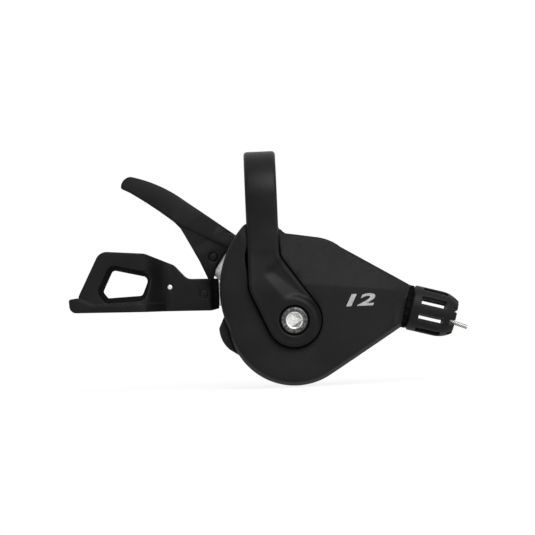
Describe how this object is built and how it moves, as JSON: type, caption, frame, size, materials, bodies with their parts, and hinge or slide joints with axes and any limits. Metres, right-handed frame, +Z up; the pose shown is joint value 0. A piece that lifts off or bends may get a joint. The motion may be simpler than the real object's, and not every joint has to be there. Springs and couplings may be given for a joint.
{
  "type": "trigger gear shifter",
  "caption": "Handlebar trigger gear shifter with a band clamp, a thumb lever that winds the cable, a windowed release lever and a barrel adjuster.",
  "frame": {"origin": "centre of the handlebar clamp's bore", "axes": "+X along the handlebar towards the cable's exit, +Y away from the clamp bolt's head, +Z up from the housing to the bar"},
  "size_m": [0.114, 0.0427, 0.0668],
  "materials": {
    "black_band": "satin black",
    "bolt_steel": "plain steel",
    "cover_plastic": "fine grain, filled nylon",
    "paddle_plastic": "fine grain, filled nylon",
    "plate_steel": "zinc plated sheet",
    "spring_steel": "drawn wire",
    "drum_plastic": "smooth acetal",
    "barrel_alloy": "turned",
    "bush_brass": "turned",
    "cable_steel": "stranded wire"
  },
  "bodies": {
    "housing": {"clamp_band": "black_band", "clamp_bolt": "bolt_steel", "front_cover": "cover_plastic", "rear_cover": "cover_plastic", "cover_screws": "bolt_steel", "cable_port_cap": "cover_plastic", "base_plate": "plate_steel", "main_axle": "plate_steel", "axle_nut": "bolt_steel", "axle_washer": "plate_steel", "position_pawl_pin": "plate_steel", "position_pawl_clip": "spring_steel", "adjuster_collar": "cover_plastic", "thumb_lever_spring": "spring_steel", "release_lever_spring": "spring_steel", "drum_spring": "spring_steel", "position_pawl_spring": "spring_steel", "inner_cable": "cable_steel"},
    "thumb_lever": {"thumb_lever_plate": "plate_steel", "thumb_lever_paddle": "paddle_plastic", "thumb_lever_rivet": "bolt_steel", "thumb_lever_bush": "bush_brass", "winding_pawl_pin": "plate_steel", "winding_pawl_spring": "spring_steel"},
    "winding_pawl": {"winding_pawl": "plate_steel"},
    "drum": {"winding_drum": "drum_plastic", "ratchet_wheel": "plate_steel", "cable_nipple": "cable_steel"},
    "position_pawl": {"position_pawl": "plate_steel"},
    "release_lever": {"release_lever_plate": "plate_steel", "release_lever_paddle": "paddle_plastic", "release_lever_rivet": "bolt_steel", "release_lever_pin": "bolt_steel"},
    "adjuster": {"adjuster_knob": "cover_plastic", "adjuster_barrel": "barrel_alloy"}
  },
  "joints": [
    {"name": "thumb_lever_swing", "type": "hinge", "parent": "housing", "child": "thumb_lever", "pos_m": [0.0079, 0, -0.0346], "axis": [0, -1, 0], "range_deg": [0, 36], "stiffness_Nm_per_rad": 0.12, "springref_deg": -28.65, "deforming": ["thumb_lever_spring"]},
    {"name": "winding_pawl_swing", "type": "hinge", "parent": "thumb_lever", "child": "winding_pawl", "pos_m": [0.01513, 0, -0.021], "axis": [0, -1, 0], "range_deg": [0, 13], "stiffness_Nm_per_rad": 0.002, "deforming": ["winding_pawl_spring"]},
    {"name": "drum_turn", "type": "hinge", "parent": "housing", "child": "drum", "pos_m": [0.0079, 0, -0.0346], "axis": [0, -1, 0], "range_deg": [0, 198], "stiffness_Nm_per_rad": 0.02, "springref_deg": -57.3, "deforming": ["drum_spring"]},
    {"name": "position_pawl_swing", "type": "hinge", "parent": "housing", "child": "position_pawl", "pos_m": [0.0215, 0, -0.04183], "axis": [0, -1, 0], "range_deg": [0, 13], "stiffness_Nm_per_rad": 0.002, "deforming": ["position_pawl_spring"]},
    {"name": "release_lever_swing", "type": "hinge", "parent": "housing", "child": "release_lever", "pos_m": [0.0079, 0, -0.0346], "axis": [0, 1, 0], "range_deg": [-10, 12], "stiffness_Nm_per_rad": 0.2, "deforming": ["release_lever_spring"]},
    {"name": "adjuster_turn", "type": "hinge", "parent": "housing", "child": "adjuster", "pos_m": [0.01083, -0.0032, -0.0241], "axis": [0.9632, 0, -0.2689], "continuous": true}
  ]
}
